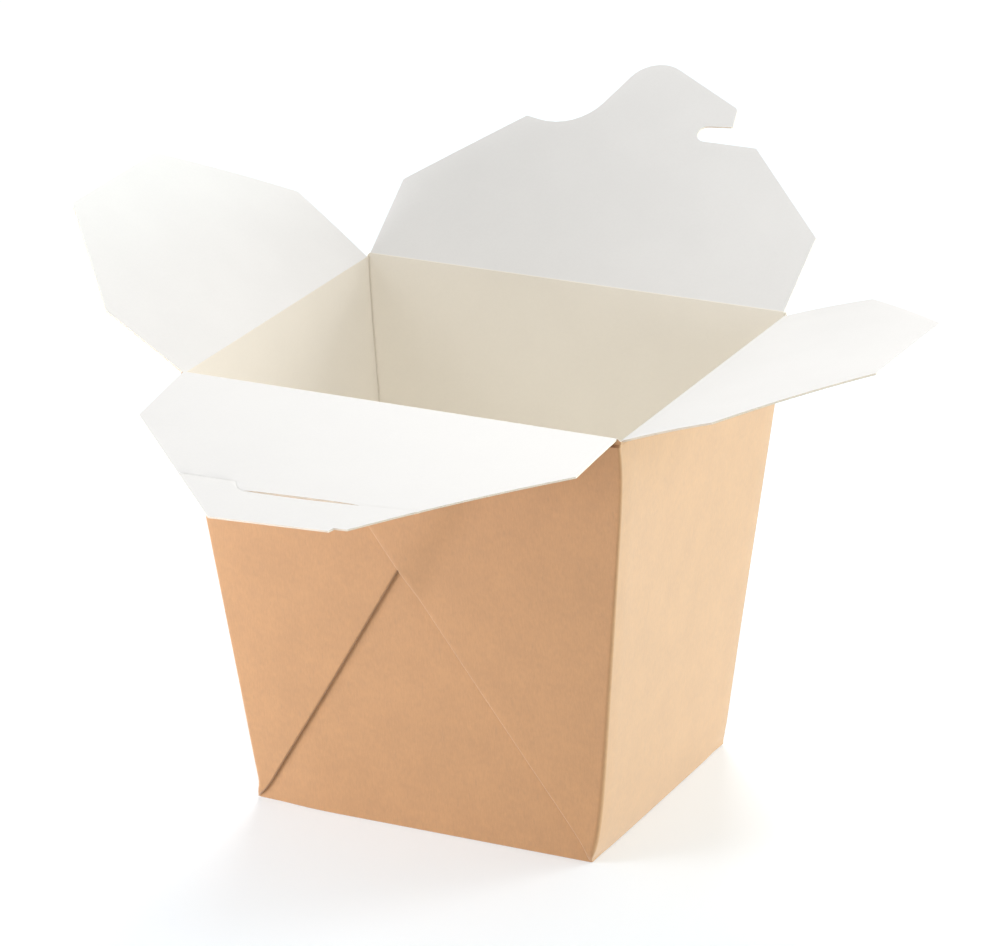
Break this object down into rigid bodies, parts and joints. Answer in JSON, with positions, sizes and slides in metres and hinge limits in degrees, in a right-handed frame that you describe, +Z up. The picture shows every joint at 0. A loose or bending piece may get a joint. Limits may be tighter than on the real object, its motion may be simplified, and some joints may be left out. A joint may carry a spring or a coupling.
{
  "type": "noodle takeaway box",
  "caption": "Open tapered kraft-board food carton with folded corner gussets, hinged lid flaps, a locking slit and a hooked tongue.",
  "frame": {"origin": "centre of the base's underside", "axes": "+Z up; the front wall, whose lid flap has the slit, faces -Y; the right wall faces +X"},
  "size_m": [0.1941, 0.1957, 0.1405],
  "materials": {
    "kraft_board": "matte, coated white inside",
    "coated_board": "coated white inside, matte kraft outside"
  },
  "bodies": {
    "carton": {"carton": "kraft_board"},
    "left_flap": {"left_flap": "coated_board"},
    "right_flap": {"right_flap": "coated_board"},
    "front_flap": {"front_flap": "coated_board"},
    "back_flap": {"back_flap": "coated_board"}
  },
  "joints": [
    {"name": "left_crease", "type": "hinge", "parent": "carton", "child": "left_flap", "pos_m": [-0.0525, 0, 0.1027], "axis": [0, 1, 0], "range_deg": [-92, 148]},
    {"name": "right_crease", "type": "hinge", "parent": "carton", "child": "right_flap", "pos_m": [0.0525, 0, 0.1027], "axis": [0, -1, 0], "range_deg": [-76, 164]},
    {"name": "front_crease", "type": "hinge", "parent": "carton", "child": "front_flap", "pos_m": [0, -0.04425, 0.10345], "axis": [-1, 0, 0], "range_deg": [-20, 187]},
    {"name": "back_crease", "type": "hinge", "parent": "carton", "child": "back_flap", "pos_m": [0, 0.04425, 0.10345], "axis": [1, 0, 0], "range_deg": [-63, 142]}
  ]
}
